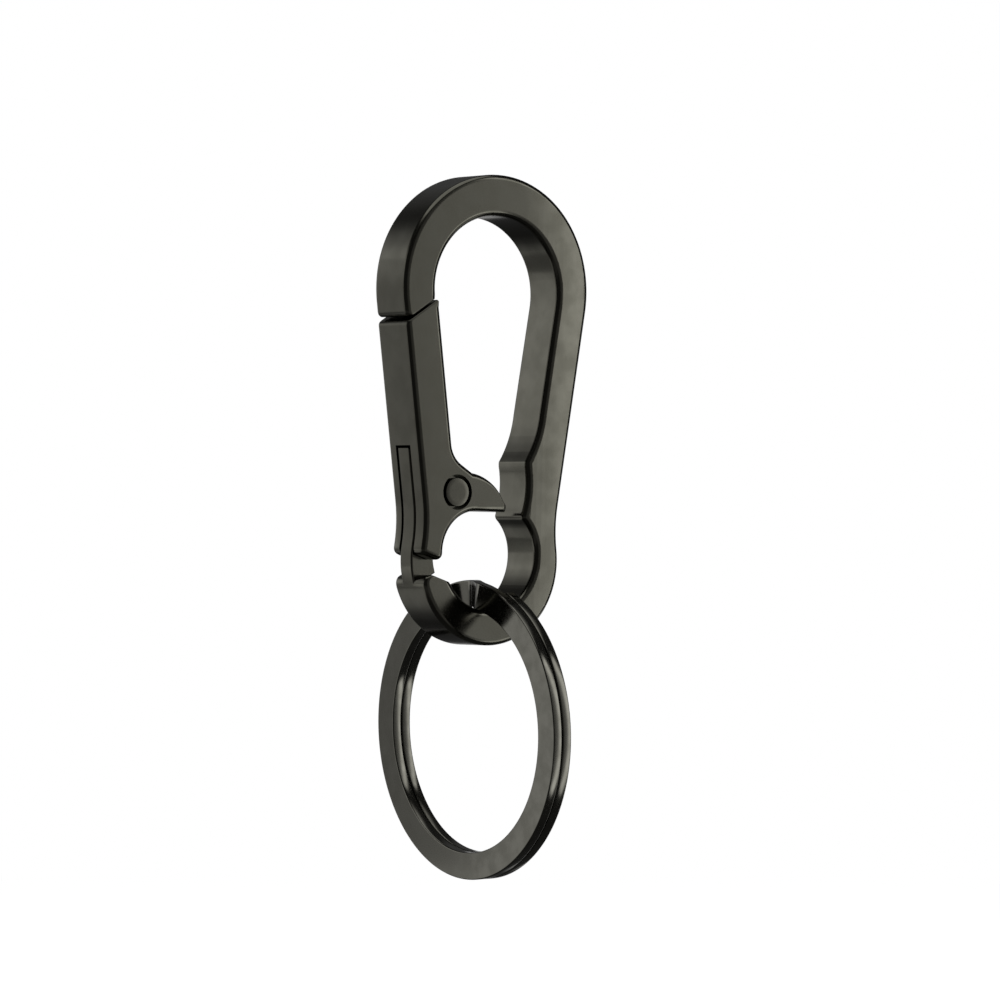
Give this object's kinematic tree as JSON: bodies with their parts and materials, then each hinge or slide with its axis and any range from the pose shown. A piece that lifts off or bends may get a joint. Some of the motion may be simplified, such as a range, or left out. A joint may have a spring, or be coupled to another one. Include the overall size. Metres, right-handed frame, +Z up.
{
  "type": "belt key clip",
  "caption": "Belt key clip: a flat hook body with a sprung gate on a flush rivet and a flat split ring hanging in its key eye.",
  "frame": {"origin": "top of the inside of the hook's arch, in the middle of its depth, where a belt loop or bar bears", "axes": "+Z up along the hanging clip, +X towards the fixed arm, +Y from the front face to the back face"},
  "size_m": [0.0244, 0.032, 0.0753],
  "materials": {
    "plated_casting": "die-cast zinc with a satin gunmetal plating",
    "plated_rivet": "steel rivet with the same gunmetal plating",
    "plated_ring": "hardened steel strip with a bright gunmetal plating",
    "spring_wire": "drawn stainless spring wire"
  },
  "bodies": {
    "frame": {"hook_frame": "plated_casting", "gate_spring": "spring_wire"},
    "gate": {"gate": "plated_casting", "pivot_rivet": "plated_rivet"},
    "ring": {"split_ring": "plated_ring"}
  },
  "joints": [
    {"name": "gate", "type": "hinge", "parent": "frame", "child": "gate", "pos_m": [-0.0054, 0, -0.02948], "axis": [0, 1, 0], "range_deg": [0, 30], "stiffness_Nm_per_rad": 0.02, "springref_deg": -34.38, "deforming": ["gate_spring"]},
    {"name": "split_ring", "type": "hinge", "parent": "frame", "child": "ring", "pos_m": [-0.00093, 0, -0.03614], "axis": [0, 1, 0], "range_deg": [-70, 70]}
  ]
}
